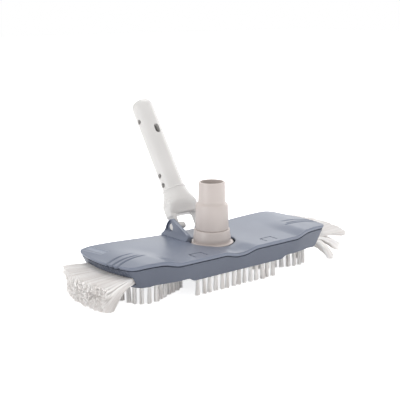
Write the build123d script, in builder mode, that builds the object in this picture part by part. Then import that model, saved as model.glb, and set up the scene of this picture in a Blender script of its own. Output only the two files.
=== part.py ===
from build123d import *
import os
from math import cos, radians, sin

# Pool vacuum head with swivel hose connector, leaning pole handle and brushes, in millimetres.
# X runs along the head, +Y towards the back, +Z up. The origin is on the pool floor under the hose axis.

# ---- driving dimensions -------------------------------------------------------------------------

# head, plan outline at the rim and at the foot of the skirt
rim_half_length = 157.0
rim_corner_inset = 11.0
rim_back_corner_inset = 6.5
rim_front = 56.5
rim_front_corner = 46.5
rim_back = 62.0
rim_back_corner = 58.5
foot_inset = 13.0
foot_corner_inset = 10.0
foot_back_corner_inset = 4.5
foot_front = 52.0
foot_front_corner = 43.0
foot_back = 57.0
foot_back_corner = 53.5
front_flat_half = 92.0
corner_round = 9.0

# head, heights
rim_height = 46.0
skirt_foot = 20.5
side_foot = 25.0
notch_inner_x = 72.0
notch_outer_x = 118.0
deck_underside = 23.0
deck_thickness = 4.5
base_wall = 3.0
cover_wall = 2.4
tongue_height = 1.6
tongue_wall = 1.4
tongue_clearance = 0.12
seam_gap = 1.2
cover_thickness = 2.0

# hose connector and swivel
small_hose_radius = 16.0
large_hose_radius = 19.0
connector_top = 117.6
small_hose_length = 26.0
shoulder_length = 2.6
small_bore_radius = 13.5
large_bore_radius = 15.5
stub_radius = 18.5
collar_radius = 21.4
collar_top = 60.2
collar_foot = 42.0
collar_bore_clearance = 0.06
swivel_gap = 0.25
ring_groove_depth = 1.2
ring_thickness = 1.8
ring_radius = 20.6
ring_opening = 7.0
seal_thickness = 1.2
throat_bore_radius = 16.5
throat_wall = 5.5
throat_top = 44.6
throat_floor = 35.0
seat_ring_radius = 26.3
seat_ring_thickness = 3.0
cover_hole_radius = 29.0
suction_flare = 5.0

# handle and bracket
handle_lean = 34.0
pivot_y = 49.0
pivot_z = 56.0
tube_radius = 13.85
tube_bore_radius = 8.4
tube_socket_radius = 13.5
tube_foot = 30.0
tube_top = 174.0
tube_nose = 10.0
tube_nose_radius = 9.0
socket_top = 47.0
socket_radius = 14.9
fork_half_width = 20.5
fork_pad_half_width = 23.2
fork_leg_thickness = 5.5
fork_depth = 13.4
arch_height = 14.0
arch_round = 6.0
fork_shoulder = 25.0
clip_hole_radius = 3.25
clip_hole_heights = (145.5, 68.5, 55.5)
slot_height = 129.0
slot_length = 12.5
slot_width = 7.0
fin_thickness = 5.0
fin_side_gap = 0.5
fin_apex_radius = 9.0
fin_foot_front = 12.5
fin_foot_back = 60.5
fin_root = 45.0
pin_radius = 4.5
pin_clearance = 0.06
press_clearance = 0.02
pin_head_radius = 4.1
left_pin_reach = 10.5
right_pin_reach = 1.5

# brushes under the head
strip_width = 6.4
strip_thickness = 3.0
strip_clearance = 0.15
tuft_row_width = 5.0
middle_row_half = 60.5
middle_row_y = 45.3
wing_inner = (56.0, 11.5)
wing_bend = (112.0, 35.5)
wing_outer = (128.5, 27.5)
wing_end = (133.5, 3.0)
wing_round = 9.0

# side brushes
holder_length = 10.0
holder_face_inset = 21.0
holder_height = 9.5
holder_half_width = 33.5
mouth_half_width = 41.0
mouth_low = 28.0
mouth_high = 36.8
tier_thickness = 2.5
bend_start_inset = 8.0
tier_root_half_width = 33.0
tier_wall_half_width = 40.5
tier_tip_half_width = 46.0
# root height, tip height and reach past the rim, at the middle and at the corners, of each layer of side bristles
tiers = ((34.9, 34.0, 37.0, 26.0), (32.0, 17.0, 33.0, 22.0), (29.4, 3.6, 20.0, 12.5))

# inside and fasteners
ballast_size = (34.0, 44.0, 9.0)
ballast_x = 108.0
screw_places = ((38.0, 31.0), (38.0, -31.0), (82.0, 2.0))
screw_radius = 1.75
screw_head_radius = 3.5
screw_head_height = 2.4
screw_length = 14.0
screw_clearance = 0.1
boss_radius = 4.2
plate_size = (34.0, 13.0)
plate_inset = 18.5
plate_y = 41.0
plate_turn = 101.0
plate_thickness = 0.8
plate_margin = 0.3
groove_width = 2.2
groove_depth = 1.1
latch_size = (15.0, 10.5)
latch_place = (54.0, -41.0)
latch_groove = 0.8

# seam and top lines of the shells: (x, height) at the front and at the back of the head, each ending past the rim
line_end_x = rim_half_length + 13.0
seam_front = ((0.0, 38.0), (12.0, 39.5), (24.0, 42.6), (88.0, 42.8), (113.0, 47.6), (147.0, 45.6), (line_end_x, 43.0))
seam_back = ((0.0, 36.0), (12.0, 36.0), (24.0, 36.5), (88.0, 38.5), (113.0, 40.5), (147.0, 43.0), (line_end_x, 43.4))
top_front = ((0.0, 42.4), (12.0, 43.6), (24.0, 46.4), (88.0, 46.8), (113.0, 51.4), (147.0, 49.4), (line_end_x, 47.0))
top_back = ((0.0, 44.6), (12.0, 44.6), (24.0, 44.6), (88.0, 48.0), (113.0, 49.8), (147.0, 48.6), (line_end_x, 46.0))

# ---- sizes worked out from them -----------------------------------------------------------------

deck_top = deck_underside + deck_thickness
rim_corner_x = rim_half_length - rim_corner_inset
foot_half_length = rim_half_length - foot_inset
foot_corner_x = foot_half_length - foot_corner_inset
rim_back_corner_x = rim_half_length - rim_back_corner_inset
foot_back_corner_x = foot_half_length - foot_back_corner_inset
holder_face_x = rim_half_length - holder_face_inset
holder_inner_x = holder_face_x - holder_length
bend_start_x = rim_half_length - bend_start_inset
plate_place = (plate_inset - rim_half_length, plate_y)
throat_radius = collar_radius + throat_wall
lean = radians(handle_lean)
pivot = Vector(0, pivot_y, pivot_z)
along = Vector(0, sin(lean), cos(lean))
rearward = Vector(0, cos(lean), -sin(lean))
fin_inner_x = fork_half_width + fin_side_gap
fin_outer_x = fin_inner_x + fin_thickness
leg_inner_x = fork_half_width - fork_leg_thickness

# planes of the handle: across its tube, seen from the front, and seen from the side
across_handle = Plane(origin=pivot, x_dir=(1, 0, 0), z_dir=along)
front_of_handle = Plane(origin=pivot, x_dir=(1, 0, 0), z_dir=rearward * -1)
side_of_handle = Plane(origin=pivot, x_dir=rearward, z_dir=(1, 0, 0))

os.makedirs("parts", exist_ok=True)


def write(piece, name):
    """Labels a finished piece and writes it to its own STEP file."""
    piece.label = name
    export_step(piece, f"parts/{name}.step")


def mirrored_points(points):
    """A left-to-right symmetric line of points from the points of its right half."""
    left = [(-x, z) for x, z in reversed(points[1:])]
    return left + list(points)


# ---- shells: outline, seam surface and top surface ----------------------------------------------


def outline(height, share, inset=0.0):
    """The head's plan at a height, share 0 at the foot of the skirt and 1 at the rim, moved in by inset."""

    def between(foot, rim):
        return foot + (rim - foot) * share

    front = inset - between(foot_front, rim_front)
    front_corner = inset - between(foot_front_corner, rim_front_corner)
    back = between(foot_back, rim_back) - inset
    back_corner = between(foot_back_corner, rim_back_corner) - inset
    corner = between(foot_corner_x, rim_corner_x) - inset
    rear = between(foot_back_corner_x, rim_back_corner_x) - inset
    end = between(foot_half_length, rim_half_length) - inset
    with BuildSketch(Plane.XY.offset(height)) as plan:
        with BuildLine():
            Line((-front_flat_half, front), (front_flat_half, front))
            Line((front_flat_half, front), (corner, front_corner))
            ThreePointArc((corner, front_corner), (end, 0), (rear, back_corner))
            ThreePointArc((rear, back_corner), (0, back), (-rear, back_corner))
            ThreePointArc((-rear, back_corner), (-end, 0), (-corner, front_corner))
            Line((-corner, front_corner), (-front_flat_half, front))
        make_face()
        fillet(plan.vertices().filter_by(lambda v: abs(v.X) > front_flat_half + 1), corner_round - inset)
    return plan.sketch


def hull_block(inset=0.0, low=skirt_foot, high=56.0):
    """The solid inside the shells' slanting outer walls, moved in by inset, between two heights."""

    def share(height):
        return (height - skirt_foot) / (rim_height - skirt_foot)

    with BuildPart() as block:
        loft([outline(low, share(low), inset), outline(high, share(high), inset)], ruled=True)
    return block.part


def above(front_line, back_line, lift):
    """Everything above the ruled surface between a front line and a back line, raised by lift."""
    with BuildPart() as space:
        for y, line in ((-rim_front - 12, front_line), (rim_back + 12, back_line)):
            with BuildSketch(Plane.XZ.offset(-y)):
                with BuildLine():
                    edge = Spline([(x, z + lift) for x, z in mirrored_points(line)])
                    Polyline(edge @ 1, (line[-1][0], 100), (-line[-1][0], 100), edge @ 0)
                make_face()
        loft(ruled=True)
    return space.part


def sector(x_low, x_high, y_low, y_high, z_low, z_high):
    """A box between the given limits, as a free solid for trimming."""
    with BuildPart() as box:
        with BuildSketch(Plane.XY.offset(z_low)):
            with Locations(((x_low + x_high) / 2, (y_low + y_high) / 2)):
                Rectangle(x_high - x_low, y_high - y_low)
        extrude(amount=z_high - z_low)
    return box.part


screw_points = [(side * x, y) for x, y in screw_places for side in (-1, 1)]

# ---- top cover: crowned shell with the hose hole, handle bracket, grooves and screw bosses --------

with BuildSketch() as end_groove_lines:
    for side in (-1, 1):
        for step in range(3):
            reach = 44 - 4 * step
            y_rim = -11 - 8.6 * step
            with BuildLine() as groove:
                ThreePointArc(
                    (side * (rim_half_length + 4), y_rim - 3),
                    (side * (rim_half_length - reach / 2), y_rim + 4.5 - step),
                    (side * (rim_half_length - reach), y_rim + 8.5 - step),
                )
            trace(groove.line, groove_width)

with BuildSketch() as latch_lines:
    for side in (-1, 1):
        with Locations((side * latch_place[0], latch_place[1])):
            Rectangle(latch_size[0] + 2 * latch_groove, latch_size[1] + 2 * latch_groove)
            Rectangle(*latch_size, mode=Mode.SUBTRACT)
            with Locations((0, -latch_size[1] / 2 - latch_groove / 2)):
                Rectangle(latch_size[0] + 2 * latch_groove, latch_groove, mode=Mode.SUBTRACT)

with BuildPart() as surface_cuts:
    add(end_groove_lines.sketch)
    add(latch_lines.sketch)
    extrude(amount=90)
    add(above(top_front, top_back, -groove_depth), mode=Mode.INTERSECT)

with BuildPart() as plate_pocket:
    with BuildSketch(Plane.XY.offset(30)):
        with Locations(Location((*plate_place, 0), (0, 0, plate_turn))):
            Rectangle(plate_size[0] + 2 * plate_margin, plate_size[1] + 2 * plate_margin)
    extrude(amount=60)
    add(above(top_front, top_back, -plate_thickness), mode=Mode.INTERSECT)

with BuildPart() as cover_inside:
    add(hull_block(cover_wall))
    add(above(top_front, top_back, -cover_thickness), mode=Mode.SUBTRACT)

with BuildPart() as fin_profile:
    with BuildSketch(Plane.YZ.offset(fin_inner_x)):
        with BuildLine():
            Polyline(
                (fin_foot_front, fin_root),
                (fin_foot_front, fin_root + 5),
                (pivot_y - 5.5, pivot_z + 9.5),
                (pivot_y + 2, pivot_z + 9.5),
                (fin_foot_back - 3, pivot_z + 2),
                (fin_foot_back, fin_root),
                close=True,
            )
        make_face()
    extrude(amount=fin_thickness)
    fillet(fin_profile.edges().filter_by(Axis.X).group_by(Axis.Z)[-1], 3.2)

with BuildPart() as top_cover:
    add(hull_block())
    add(above(seam_front, seam_back, seam_gap / 2), mode=Mode.INTERSECT)
    add(cover_inside.part, mode=Mode.SUBTRACT)
    with BuildSketch(Plane.XY.offset(deck_top)):
        with Locations(*screw_points):
            Circle(boss_radius)
    extrude(amount=rim_height - deck_top)
    add(above(top_front, top_back, 0), mode=Mode.SUBTRACT)
    add(fin_profile.part)
    add(fin_profile.part.mirror(Plane.YZ))
    with Locations(Plane.XY.offset(rim_height)):
        Hole(cover_hole_radius)
    with Locations(Plane(origin=pivot, z_dir=(1, 0, 0))):
        Hole(pin_radius + pin_clearance)
    add(surface_cuts.part, mode=Mode.SUBTRACT)
    add(plate_pocket.part, mode=Mode.SUBTRACT)
    with BuildSketch(Plane.XY.offset(deck_top)):
        with Locations(*screw_points):
            Circle(screw_radius + screw_clearance)
    extrude(amount=screw_length - deck_thickness, mode=Mode.SUBTRACT)
write(top_cover.part, "top_cover")

with BuildPart() as nameplate:
    with BuildSketch(Plane.XY.offset(30)):
        with Locations(Location((*plate_place, 0), (0, 0, plate_turn))):
            Rectangle(*plate_size)
    extrude(amount=60)
    add(above(top_front, top_back, -plate_thickness), mode=Mode.INTERSECT)
    add(above(top_front, top_back, 0.2), mode=Mode.SUBTRACT)
write(nameplate.part, "nameplate")

# ---- base shell: skirt, deck, throat tower and the mouths for the side brushes --------------------


def strip_outline(side, back, width):
    """Plan of one wing row: from its inner end out to the bend and round towards the middle of the end."""
    sign_y = 1 if back else -1
    ends = (wing_inner, wing_bend, wing_outer, wing_end)
    points = [(side * x, sign_y * y) for x, y in ends]
    with BuildSketch() as plan:
        with BuildLine() as path:
            FilletPolyline(points, radius=wing_round)
        trace(path.line, width)
    return plan.sketch


def middle_outline(back, width, extra=0.0):
    """Plan of the straight row along the middle of the front or back edge."""
    with BuildSketch() as plan:
        with Locations((0, middle_row_y if back else -middle_row_y)):
            Rectangle(2 * middle_row_half + extra, width)
    return plan.sketch


rows = {"front_middle": middle_outline(False, strip_width), "back_middle": middle_outline(True, strip_width)}
tufts = {"front_middle": middle_outline(False, tuft_row_width, -1.6), "back_middle": middle_outline(True, tuft_row_width, -1.6)}
pockets = [middle_outline(back, strip_width + 2 * strip_clearance, 2 * strip_clearance) for back in (False, True)]
for side, side_name in ((-1, "left"), (1, "right")):
    for back, end_name in ((False, "front"), (True, "back")):
        rows[f"{end_name}_{side_name}"] = strip_outline(side, back, strip_width)
        tufts[f"{end_name}_{side_name}"] = strip_outline(side, back, tuft_row_width)
        pockets.append(strip_outline(side, back, strip_width + 2 * strip_clearance))

with BuildPart() as tongue:
    add(hull_block(cover_wall + tongue_clearance, deck_underside, 54.0))
    add(hull_block(cover_wall + tongue_clearance + tongue_wall, deck_underside, 54.0), mode=Mode.SUBTRACT)
    add(above(seam_front, seam_back, tongue_height), mode=Mode.SUBTRACT)

with BuildPart() as base_shell:
    add(hull_block(0.0, skirt_foot, 54.0))
    add(above(seam_front, seam_back, -seam_gap / 2), mode=Mode.SUBTRACT)
    add(hull_block(base_wall, deck_top, 54.0), mode=Mode.SUBTRACT)
    add(hull_block(base_wall, skirt_foot, deck_underside), mode=Mode.SUBTRACT)
    for side in (-1, 1):
        add(
            sector(
                min(side * notch_inner_x, side * notch_outer_x),
                max(side * notch_inner_x, side * notch_outer_x),
                -rim_front,
                -middle_row_y - strip_width / 2 - 0.4,
                skirt_foot - 1,
                side_foot,
            ),
            mode=Mode.SUBTRACT,
        )
    add(tongue.part)
    with BuildSketch(Plane.XY.offset(deck_underside)):
        Circle(throat_radius)
    extrude(amount=throat_top - deck_underside)
    with Locations(Plane.XY.offset(throat_top)):
        CounterBoreHole(throat_bore_radius, collar_radius + 0.05, throat_top - throat_floor)
    with BuildSketch(Plane.XY.offset(deck_underside)):
        Circle(throat_bore_radius + suction_flare)
    with BuildSketch(Plane.XY.offset(deck_underside + suction_flare)):
        Circle(throat_bore_radius)
    loft(mode=Mode.SUBTRACT)
    for pocket in pockets:
        with BuildSketch(Plane.XY.offset(deck_underside)):
            add(pocket)
        extrude(amount=strip_thickness, mode=Mode.SUBTRACT)
    for side in (-1, 1):
        add(
            sector(
                min(side * holder_face_x, side * (rim_half_length + 5)),
                max(side * holder_face_x, side * (rim_half_length + 5)),
                -mouth_half_width,
                mouth_half_width,
                mouth_low,
                mouth_high,
            ),
            mode=Mode.SUBTRACT,
        )
    with BuildSketch(Plane.XY.offset(deck_underside - 1)):
        with Locations(*screw_points):
            Circle(screw_radius + screw_clearance)
    extrude(amount=deck_thickness + 2, mode=Mode.SUBTRACT)
    with BuildSketch(Plane.XY.offset(deck_underside - 1)):
        with Locations(*screw_points):
            Circle(screw_head_radius + screw_clearance)
    extrude(amount=screw_head_height + 1, mode=Mode.SUBTRACT)
write(base_shell.part, "base_shell")

# ---- brush strips and their bristles --------------------------------------------------------------

for row_name, plan in rows.items():
    with BuildPart() as strip:
        with BuildSketch(Plane.XY.offset(deck_underside)):
            add(plan)
        extrude(amount=strip_thickness)
    write(strip.part, f"{row_name}_brush_strip")

for row_name, plan in tufts.items():
    with BuildPart() as bristles:
        with BuildSketch():
            add(plan)
        extrude(amount=deck_underside)
    write(bristles.part, f"{row_name}_bristles")

# ---- side brushes: a holder inside each end and three layers of long bristles ---------------------


def bristle_tier(root_height, tip_height, middle_past_rim, corner_past_rim):
    """One layer on the right-hand side, straight out through the wall and then bent down to a bowed tip line."""
    reach = rim_half_length + middle_past_rim
    corner_reach = rim_half_length + corner_past_rim
    middle_x = (bend_start_x + reach) / 2
    middle_z = root_height + (tip_height - root_height) * 0.36
    tip_thickness = tier_thickness + 0.6
    with BuildPart() as tier:
        with BuildSketch(Plane.XZ):
            with BuildLine():
                upper = ThreePointArc(
                    (bend_start_x, root_height + tier_thickness / 2),
                    (middle_x, middle_z + tier_thickness / 2),
                    (reach, tip_height + tip_thickness / 2),
                )
                lower = ThreePointArc(
                    (bend_start_x, root_height - tier_thickness / 2),
                    (middle_x, middle_z - tier_thickness / 2),
                    (reach, tip_height - tip_thickness / 2),
                )
                Line(upper @ 1, lower @ 1)
                Polyline(
                    upper @ 0,
                    (holder_face_x, root_height + tier_thickness / 2),
                    (holder_face_x, root_height - tier_thickness / 2),
                    lower @ 0,
                )
            make_face()
        extrude(amount=tier_tip_half_width, both=True)
        with BuildSketch(Plane.XY):
            with BuildLine():
                Polyline(
                    (corner_reach, -tier_tip_half_width),
                    (rim_half_length, -tier_wall_half_width),
                    (holder_face_x, -tier_root_half_width),
                    (holder_face_x, tier_root_half_width),
                    (rim_half_length, tier_wall_half_width),
                    (corner_reach, tier_tip_half_width),
                )
                ThreePointArc(
                    (corner_reach, tier_tip_half_width),
                    (reach, 0),
                    (corner_reach, -tier_tip_half_width),
                )
            make_face()
        extrude(amount=80, mode=Mode.INTERSECT)
    return tier.part


with BuildPart() as right_side_bristles:
    for tier_size in tiers:
        add(bristle_tier(*tier_size))
write(right_side_bristles.part, "right_side_bristles")
write(mirror(right_side_bristles.part, about=Plane.YZ), "left_side_bristles")

for side, side_name in ((-1, "left"), (1, "right")):
    with BuildPart() as holder:
        with BuildSketch(Plane.XY.offset(deck_top)):
            with Locations((side * (holder_inner_x + holder_face_x) / 2, 0)):
                Rectangle(holder_face_x - holder_inner_x, 2 * holder_half_width)
        extrude(amount=holder_height)
    write(holder.part, f"{side_name}_side_brush_holder")

    with BuildPart() as ballast:
        with BuildSketch(Plane.XY.offset(deck_top)):
            with Locations((side * ballast_x, 0)):
                RectangleRounded(ballast_size[0], ballast_size[1], 3)
        extrude(amount=ballast_size[2])
    write(ballast.part, f"{side_name}_ballast")

with BuildPart() as casing_screws:
    with BuildSketch(Plane.XY.offset(deck_underside)):
        with Locations(*screw_points):
            Circle(screw_head_radius)
    extrude(amount=screw_head_height)
    with BuildSketch(Plane.XY.offset(deck_underside)):
        with Locations(*screw_points):
            Circle(screw_radius)
    extrude(amount=screw_length - 1)
write(casing_screws.part, "casing_screws")

# ---- hose connector and its swivel ----------------------------------------------------------------

stub_foot = throat_floor + seal_thickness + swivel_gap
groove_low = collar_foot - swivel_gap - ring_thickness - 0.1
shoulder_low = connector_top - small_hose_length - shoulder_length

with BuildPart() as hose_connector:
    with BuildSketch(Plane.XZ):
        with BuildLine():
            Polyline(
                (large_bore_radius, stub_foot),
                (stub_radius, stub_foot),
                (stub_radius, groove_low),
                (stub_radius - ring_groove_depth, groove_low),
                (stub_radius - ring_groove_depth, collar_foot - swivel_gap),
                (stub_radius, collar_foot - swivel_gap),
                (stub_radius, collar_top + swivel_gap),
                (large_hose_radius, collar_top + swivel_gap),
                (large_hose_radius, shoulder_low),
                (small_hose_radius, shoulder_low + shoulder_length),
                (small_hose_radius, connector_top),
                (small_bore_radius, connector_top),
                (small_bore_radius, shoulder_low),
                (large_bore_radius, shoulder_low - shoulder_length),
                close=True,
            )
        make_face()
    revolve(axis=Axis.Z)
    fillet(hose_connector.edges().filter_by(GeomType.CIRCLE).group_by(Axis.Z)[-1], 0.7)
write(hose_connector.part, "hose_connector")

with BuildPart() as swivel_collar:
    with BuildSketch(Plane.XY.offset(collar_foot)):
        Circle(collar_radius)
        Circle(stub_radius + collar_bore_clearance, mode=Mode.SUBTRACT)
    extrude(amount=collar_top - collar_foot)
    fillet(swivel_collar.faces().sort_by(Axis.Z)[-1].outer_wire().edges(), 0.8)
write(swivel_collar.part, "swivel_collar")

with BuildPart() as retaining_ring:
    with BuildSketch(Plane.XY.offset(groove_low + 0.1)):
        Circle(ring_radius)
        Circle(stub_radius - ring_groove_depth + 0.02, mode=Mode.SUBTRACT)
        with Locations((0, ring_radius)):
            Rectangle(ring_opening, 2 * (ring_radius - stub_radius + ring_groove_depth + 1), mode=Mode.SUBTRACT)
    extrude(amount=ring_thickness)
write(retaining_ring.part, "retaining_ring")

with BuildPart() as throat_seal:
    with BuildSketch(Plane.XY.offset(throat_floor)):
        Circle(collar_radius)
        Circle(throat_bore_radius + 0.3, mode=Mode.SUBTRACT)
    extrude(amount=seal_thickness)
write(throat_seal.part, "throat_seal")

with BuildPart() as seat_ring:
    with BuildSketch(Plane.XY.offset(throat_top)):
        Circle(seat_ring_radius)
        Circle(collar_radius + 0.05, mode=Mode.SUBTRACT)
    extrude(amount=seat_ring_thickness)
    fillet(seat_ring.faces().sort_by(Axis.Z)[-1].outer_wire().edges(), 1.0)
write(seat_ring.part, "seat_ring")

# ---- handle: fork, tube and pivot pins ------------------------------------------------------------

with BuildPart() as leg_ends:
    with BuildSketch(side_of_handle.offset(-fork_half_width)):
        Circle(fork_depth / 2)
        with Locations((0, fork_shoulder / 2)):
            Rectangle(fork_depth, fork_shoulder)
    extrude(amount=2 * fork_half_width)

with BuildPart() as handle_fork:
    add(leg_ends.part)
    with BuildSketch(front_of_handle.offset(fork_depth / 2)):
        with BuildLine():
            Polyline(
                (-fork_half_width, fork_depth / 2 + 4.6),
                (-fork_pad_half_width, fork_depth / 2 + 7.6),
                (-fork_pad_half_width, fork_shoulder - 4),
                (-fork_half_width, fork_shoulder + 1),
                (fork_half_width, fork_shoulder + 1),
                (fork_pad_half_width, fork_shoulder - 4),
                (fork_pad_half_width, fork_depth / 2 + 7.6),
                (fork_half_width, fork_depth / 2 + 4.6),
                close=True,
            )
        make_face()
    extrude(amount=-fork_depth)
    with BuildSketch(across_handle.offset(fork_shoulder)):
        RectangleRounded(2 * fork_half_width, fork_depth, 4)
    with BuildSketch(across_handle.offset(socket_top)):
        RectangleRounded(2 * socket_radius, 2 * socket_radius, socket_radius - 0.05)
    loft(ruled=True)
    with BuildSketch(front_of_handle.offset(fork_depth)):
        with Locations((0, arch_height - 20)):
            RectangleRounded(2 * leg_inner_x, 40, arch_round)
    extrude(amount=-2 * fork_depth, mode=Mode.SUBTRACT)
    with BuildSketch(across_handle.offset(tube_foot)):
        Circle(tube_socket_radius + press_clearance)
    extrude(amount=socket_top - tube_foot + 1, mode=Mode.SUBTRACT)
    with Locations(Plane(origin=pivot, z_dir=(1, 0, 0))):
        Hole(pin_radius + press_clearance)
write(handle_fork.part, "handle_fork")

with BuildPart() as handle_tube:
    with BuildSketch(side_of_handle):
        with BuildLine():
            nose = ThreePointArc(
                (tube_radius, tube_top - tube_nose),
                (
                    tube_nose_radius + (tube_radius - tube_nose_radius) * sin(radians(52)),
                    tube_top - tube_nose + tube_nose * cos(radians(52)),
                ),
                (tube_nose_radius, tube_top),
            )
            Polyline(
                nose @ 1,
                (tube_bore_radius, tube_top),
                (tube_bore_radius, tube_foot),
                (tube_socket_radius, tube_foot),
                (tube_socket_radius, socket_top),
                (tube_radius, socket_top),
                nose @ 0,
            )
        make_face()
    revolve(axis=Axis(pivot, along))
    for height in clip_hole_heights:
        with Locations(Plane(origin=pivot + along * height, z_dir=(1, 0, 0))):
            Hole(clip_hole_radius)
    with BuildSketch(front_of_handle.offset(tube_radius + 1)):
        with Locations((0, slot_height)):
            SlotOverall(slot_length, slot_width, rotation=90)
    extrude(amount=-tube_radius, mode=Mode.SUBTRACT)
write(handle_tube.part, "handle_tube")

for side, side_name, reach in ((-1, "left", left_pin_reach), (1, "right", right_pin_reach)):
    with BuildPart() as pivot_pin:
        with BuildSketch(Plane.YZ.offset(side * leg_inner_x)):
            with Locations((pivot_y, pivot_z)):
                Circle(pin_radius)
        extrude(amount=side * (fin_outer_x - leg_inner_x))
        with BuildSketch(Plane.YZ.offset(side * leg_inner_x)):
            with Locations((pivot_y, pivot_z)):
                Circle(pin_head_radius)
        extrude(amount=-side * reach)
        inner_end = pivot_pin.faces().sort_by(Axis.X)[-1 if side < 0 else 0]
        fillet(inner_end.edges(), min(1.2, reach / 2))
    write(pivot_pin.part, f"{side_name}_pivot_pin")
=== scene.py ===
import math

import bpy
import numpy as np
from mathutils import Matrix


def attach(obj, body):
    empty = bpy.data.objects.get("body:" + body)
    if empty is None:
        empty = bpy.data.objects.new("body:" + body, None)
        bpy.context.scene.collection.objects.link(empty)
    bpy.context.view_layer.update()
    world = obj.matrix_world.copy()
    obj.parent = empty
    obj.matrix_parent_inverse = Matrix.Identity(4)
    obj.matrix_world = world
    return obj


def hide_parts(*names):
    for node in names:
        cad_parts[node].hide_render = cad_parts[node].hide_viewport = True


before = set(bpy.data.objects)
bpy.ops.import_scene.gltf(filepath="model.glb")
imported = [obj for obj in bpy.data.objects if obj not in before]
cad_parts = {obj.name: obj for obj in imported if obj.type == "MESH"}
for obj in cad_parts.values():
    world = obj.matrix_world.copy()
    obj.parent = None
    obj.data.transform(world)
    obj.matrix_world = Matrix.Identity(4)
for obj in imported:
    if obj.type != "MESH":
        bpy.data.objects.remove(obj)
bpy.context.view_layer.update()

# Pool vacuum head: a crowned two-part shell on brush rows, a swivelling stepped hose spigot
# and a leaning pole handle. The pieces' sizes are in millimetres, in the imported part's own frame,
# and become metres where a mesh is made. Camera, lights and floor are placed in metres.
MM = 0.001
SIDES = ((-1, "left"), (1, "right"))

# ---- colours and shader nodes --------------------------------------------------------------------


def rgb(hex_code):
    """A colour's sRGB hex code as linear red, green, blue and alpha."""
    srgb = np.array([int(hex_code[i:i + 2], 16) for i in (1, 3, 5)]) / 255
    linear = np.where(srgb <= 0.04045, srgb / 12.92, ((srgb + 0.055) / 1.055) ** 2.4)
    return (*[float(value) for value in linear], 1.0)


def add_node(tree, kind, links=None, **settings):
    """Adds one shader node: its properties and socket values by name, and the sockets that feed it."""
    node = tree.nodes.new(kind)
    for key, value in settings.items():
        if hasattr(node, key):
            setattr(node, key, value)
        else:
            node.inputs[key.replace("_", " ")].default_value = value
    for socket, source in (links or {}).items():
        tree.links.new(source, node.inputs[socket])
    return node


def brighter_in_view(tree, lit, seen):
    """A strength for a backdrop: one value for the light that reaches the object, another where the camera sees it."""
    sight = add_node(tree, "ShaderNodeLightPath")
    camera_ray = {"Value": sight.outputs["Is Camera Ray"]}
    return add_node(tree, "ShaderNodeMapRange", camera_ray, To_Min=lit, To_Max=seen).outputs["Result"]


# ---- camera, lights and surroundings ---------------------------------------------------------------

camera_azimuth = math.radians(38.2)
camera_pitch = math.radians(12.6)
camera_roll = math.radians(-0.41)
camera_distance = 1.004
camera_target = np.array((-0.018, 0.0, 0.0976))
camera_lens_mm, camera_sensor_mm = 76.5, 36.0


def place_by_axes(thing, side, up, back, place):
    """Links a camera or light with its own X, Y and Z axes and its place given in the scene."""
    matrix = np.eye(4)
    matrix[:3] = np.column_stack((side, up, back, place))
    thing.matrix_world = Matrix(matrix.tolist())
    bpy.context.scene.collection.objects.link(thing)


def set_camera():
    """The camera looks along a bearing turned from +Y towards +X, tipped down by the pitch and rolled a little."""
    az, pitch, roll = camera_azimuth, camera_pitch, camera_roll
    forward = np.array((math.sin(az) * math.cos(pitch), math.cos(az) * math.cos(pitch), -math.sin(pitch)))
    level = np.array((math.cos(az), -math.sin(az), 0.0))
    right = math.cos(roll) * level + math.sin(roll) * np.cross(level, forward)
    data = bpy.data.cameras.new("camera")
    data.lens = camera_lens_mm
    data.sensor_width = camera_sensor_mm
    data.clip_start = 0.05
    camera = bpy.data.objects.new("camera", data)
    place_by_axes(camera, right, np.cross(right, forward), -forward, camera_target - forward * camera_distance)
    bpy.context.scene.camera = camera


def soft_box(name, place, size, power, target=(0.0, 0.0, 0.06)):
    """A square soft light facing a target point."""
    data = bpy.data.lights.new(name, "AREA")
    data.shape = "SQUARE"
    data.size = size
    data.energy = power
    away = np.array(place, float) - np.array(target, float)
    away /= np.linalg.norm(away)
    side = np.cross((0.0, 0.0, 1.0), away)
    side /= np.linalg.norm(side)
    place_by_axes(bpy.data.objects.new(name, data), side, np.cross(away, side), away, place)


set_camera()
soft_box("key_light", (0.45, 0.45, 1.5), 1.1, 11.0)
soft_box("left_fill", (-1.3, 0.1, 0.12), 0.7, 6.0, (-0.15, 0.0, 0.04))
soft_box("right_fill", (1.05, -0.95, 0.35), 0.6, 2.6)
soft_box("side_light", (1.5, 0.25, 0.6), 0.7, 3.0)
soft_box("back_light", (1.1, 1.3, 0.42), 0.7, 1.4)

# The surroundings: a white backdrop for the camera, and a dimmer even light for the object.
world = bpy.data.worlds.new("studio")
world.use_nodes = True
backdrop = world.node_tree.nodes["Background"]
backdrop.inputs["Color"].default_value = rgb("#ffffff")
world.node_tree.links.new(brighter_in_view(world.node_tree, 0.8, 1.0), backdrop.inputs["Strength"])
bpy.context.scene.world = world
bpy.context.scene.view_settings.view_transform = "Standard"

# ---- finishes -----------------------------------------------------------------------------------

MOTTLE_MM = 45.0  # how far apart the lighter and darker patches of a moulding lie
EROSION_MM = 0.05  # how deep a mould's eroded grain is


def finish(name, roughness, ior=1.5, metallic=0.0):
    """A new material with its Principled shader set to one kind of surface."""
    material = bpy.data.materials.new(name)
    material.use_nodes = True
    shader = material.node_tree.nodes["Principled BSDF"]
    shader.inputs["Roughness"].default_value = roughness
    shader.inputs["IOR"].default_value = ior
    shader.inputs["Metallic"].default_value = metallic
    return material, material.node_tree, shader


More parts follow.
